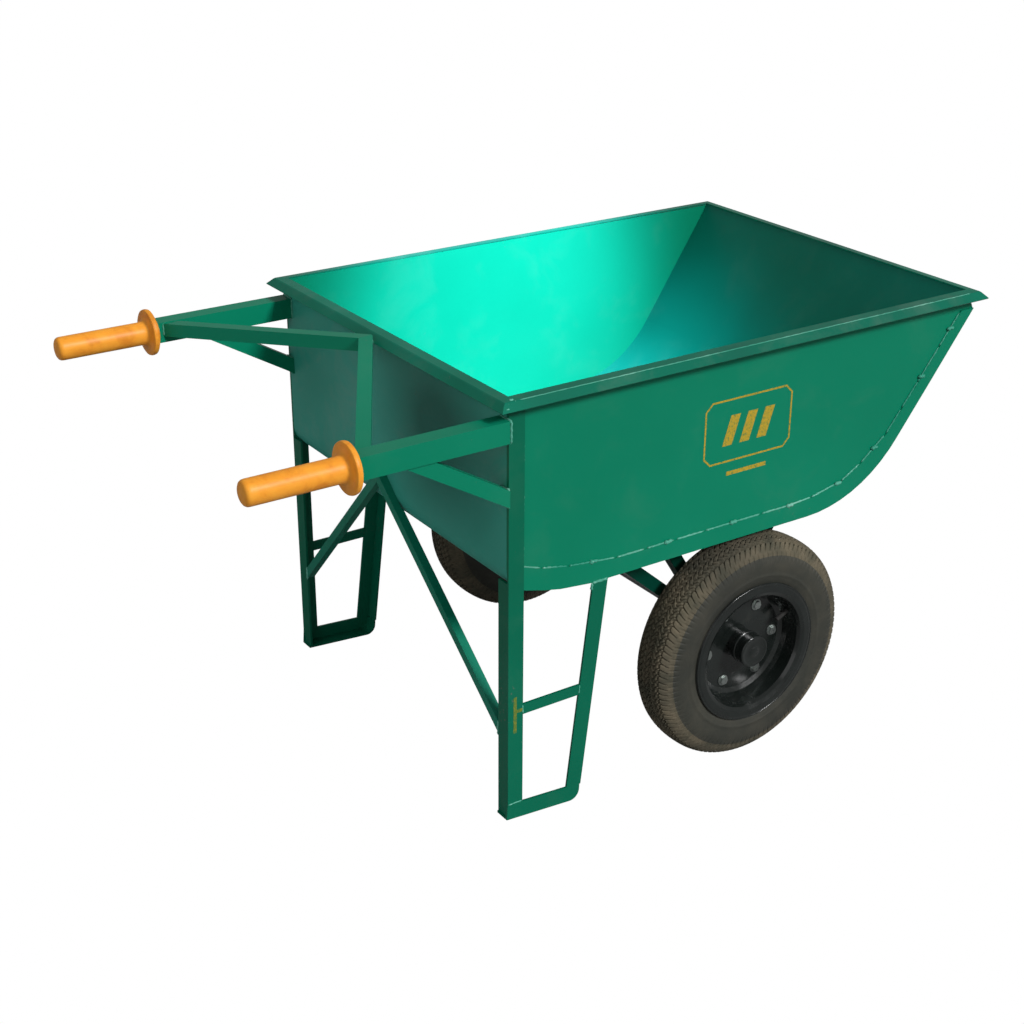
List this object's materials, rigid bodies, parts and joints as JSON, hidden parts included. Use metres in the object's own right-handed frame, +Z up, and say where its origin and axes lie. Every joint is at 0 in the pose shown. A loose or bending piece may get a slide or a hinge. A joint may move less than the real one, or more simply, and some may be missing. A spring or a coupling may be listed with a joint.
{
  "type": "wheelbarrow",
  "caption": "Builder's wheelbarrow with an open folded-steel tray, welded angle legs, tube handles with round guards, and pneumatic wheels on a shared axle.",
  "frame": {"origin": "bottom centre of the whole barrow's bounding box, on the ground", "axes": "+X forward to the pouring lip, +Y to the left of someone pushing it, +Z up"},
  "size_m": [1.3911, 0.77, 0.7906],
  "materials": {
    "green_paint": "satin, worn",
    "grip": "matte",
    "tyre": "matte, dusty",
    "tube": "matte",
    "wheel_paint": "gloss",
    "steel": "machined",
    "bolt": "zinc plated"
  },
  "bodies": {
    "chassis": {"side_panel_left": "green_paint", "side_panel_right": "green_paint", "rear_wall": "green_paint", "floor_sheet": "green_paint", "front_wall": "green_paint", "rim_left": "green_paint", "rim_right": "green_paint", "rim_front": "green_paint", "rim_rear": "green_paint", "edge_band_left": "green_paint", "edge_band_right": "green_paint", "leg_rear_post_left": "green_paint", "leg_rear_post_right": "green_paint", "leg_foot_bar_left": "green_paint", "leg_foot_bar_right": "green_paint", "leg_front_post_left": "green_paint", "leg_front_post_right": "green_paint", "leg_crossbar_left": "green_paint", "leg_crossbar_right": "green_paint", "leg_brace_left": "green_paint", "leg_brace_right": "green_paint", "handle_tube_left": "green_paint", "handle_tube_right": "green_paint", "handle_lower_brace_left": "green_paint", "handle_lower_brace_right": "green_paint", "handle_inner_brace_left": "green_paint", "handle_inner_brace_right": "green_paint", "grip_left": "grip", "grip_right": "grip", "chassis_rail_left": "green_paint", "chassis_rail_right": "green_paint", "cross_member_rear": "green_paint", "cross_member_front": "green_paint", "axle_strut_rear_left": "green_paint", "axle_strut_rear_right": "green_paint", "axle_strut_mid_left": "green_paint", "axle_strut_mid_right": "green_paint", "axle_strut_front_left": "green_paint", "axle_strut_front_right": "green_paint", "axle_sleeve_left": "green_paint", "axle_sleeve_right": "green_paint", "axle_shaft": "steel", "axle_nuts": "steel"},
    "wheel_left": {"tyre_left": "tyre", "inner_tube_left": "tube", "rim_half_outer_left": "wheel_paint", "rim_half_inner_left": "wheel_paint", "hub_left": "wheel_paint", "bearings_left": "steel", "rim_bolts_left": "bolt", "dust_cap_left": "wheel_paint"},
    "wheel_right": {"tyre_right": "tyre", "inner_tube_right": "tube", "rim_half_outer_right": "wheel_paint", "rim_half_inner_right": "wheel_paint", "hub_right": "wheel_paint", "bearings_right": "steel", "rim_bolts_right": "bolt", "dust_cap_right": "wheel_paint"}
  },
  "joints": [
    {"name": "wheel_left_spin", "type": "hinge", "parent": "chassis", "child": "wheel_left", "pos_m": [0.25085, 0.333, 0.203], "axis": [0, 1, 0], "continuous": true},
    {"name": "wheel_right_spin", "type": "hinge", "parent": "chassis", "child": "wheel_right", "pos_m": [0.25085, -0.333, 0.203], "axis": [0, 1, 0], "continuous": true}
  ]
}
